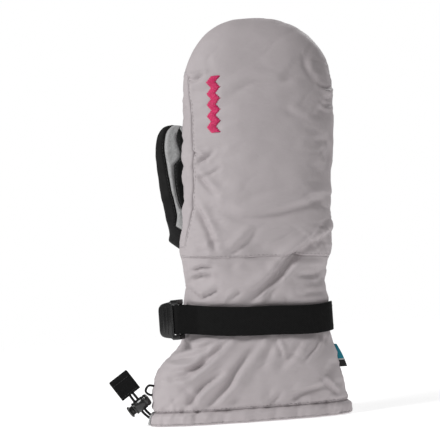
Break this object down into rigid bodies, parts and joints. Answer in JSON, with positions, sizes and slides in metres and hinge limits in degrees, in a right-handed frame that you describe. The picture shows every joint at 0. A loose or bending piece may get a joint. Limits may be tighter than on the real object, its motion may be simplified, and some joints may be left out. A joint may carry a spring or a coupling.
{
  "type": "ski mitten",
  "caption": "Insulated right-hand gauntlet ski mitten with a separate thumb, a leather palm, an elastic wrist, a buckled wrist strap and a draw-cord hem.",
  "frame": {"origin": "middle of the bounding box's footprint, on the floor that the open hem rests on", "axes": "+Z from the hem to the fingertips, -Y out of the back of the hand, +Y out of the palm, -X towards the thumb, +X towards the little finger"},
  "size_m": [0.2154, 0.0862, 0.349],
  "materials": {
    "shell_nylon": "matt plain-weave nylon shell, warm grey",
    "palm_leather": "fine-grained synthetic leather, soft sheen",
    "softshell_black": "matt knitted softshell",
    "thumb_wipe": "light grey brushed knit",
    "insulation": "lofted polyester fibre",
    "membrane": "thin waterproof film",
    "fleece": "brushed fleece",
    "webbing": "ribbed polyester webbing",
    "moulded_plastic": "moulded acetal, satin gloss",
    "elastic_cord": "braided sheath over a rubber core",
    "elastic": "woven elastic",
    "side_tape": "woven satin tape, teal and black",
    "thread": "shiny embroidery thread, magenta",
    "spring_steel": "bright spring wire"
  },
  "bodies": {
    "cuff": {"cuff_back_shell": "shell_nylon", "cuff_palm_shell": "shell_nylon", "cuff_insulation": "insulation", "cuff_lining": "fleece", "wrist_elastic": "elastic", "hem_binding": "shell_nylon", "hem_label": "fleece", "side_tag": "side_tape", "wrist_strap": "webbing", "strap_anchor": "webbing", "draw_cord": "elastic_cord", "cord_exit_tab": "thumb_wipe", "cord_pull_tab": "webbing", "cord_lock_tether": "elastic_cord"},
    "buckle": {"buckle": "moulded_plastic"},
    "lock": {"cord_lock_body": "moulded_plastic", "cord_lock_spring": "spring_steel"},
    "lock_button": {"cord_lock_button": "moulded_plastic"},
    "hand": {"back_shell": "shell_nylon", "index_gusset": "shell_nylon", "index_patch": "palm_leather", "palm_heel": "palm_leather", "palm_fingers": "palm_leather", "back_insulation": "insulation", "palm_insulation": "insulation", "hand_membrane": "membrane", "hand_lining": "fleece", "embroidery": "thread"},
    "thumb": {"thumb_front": "softshell_black", "thumb_back": "softshell_black", "thumb_strip": "thumb_wipe", "thumb_insulation": "insulation", "thumb_membrane": "membrane", "thumb_lining": "fleece"}
  },
  "joints": [
    {"name": "wrist_flex", "type": "hinge", "parent": "cuff", "child": "hand", "pos_m": [0.0262, -0.01189, 0.12], "axis": [-1, 0, 0], "range_deg": [-20, 20]},
    {"name": "thumb_swing", "type": "hinge", "parent": "hand", "child": "thumb", "pos_m": [-0.0078, 0.02611, 0.15], "axis": [-0.2079, 0.9781, 0], "range_deg": [-8, 33]},
    {"name": "buckle_tilt", "type": "hinge", "parent": "cuff", "child": "buckle", "pos_m": [-0.0443, -0.03139, 0.088], "axis": [0, 0, 1], "range_deg": [0, 30]},
    {"name": "lock_slide", "type": "slide", "parent": "cuff", "child": "lock", "axis": [-0.5592, 0, 0.829], "range_m": [-0.001, 0.006]},
    {"name": "lock_press", "type": "slide", "parent": "lock", "child": "lock_button", "axis": [0.829, 0, 0.5592], "range_m": [0, 0.0028], "stiffness_N_per_m": 400, "springref_m": -0.004}
  ]
}
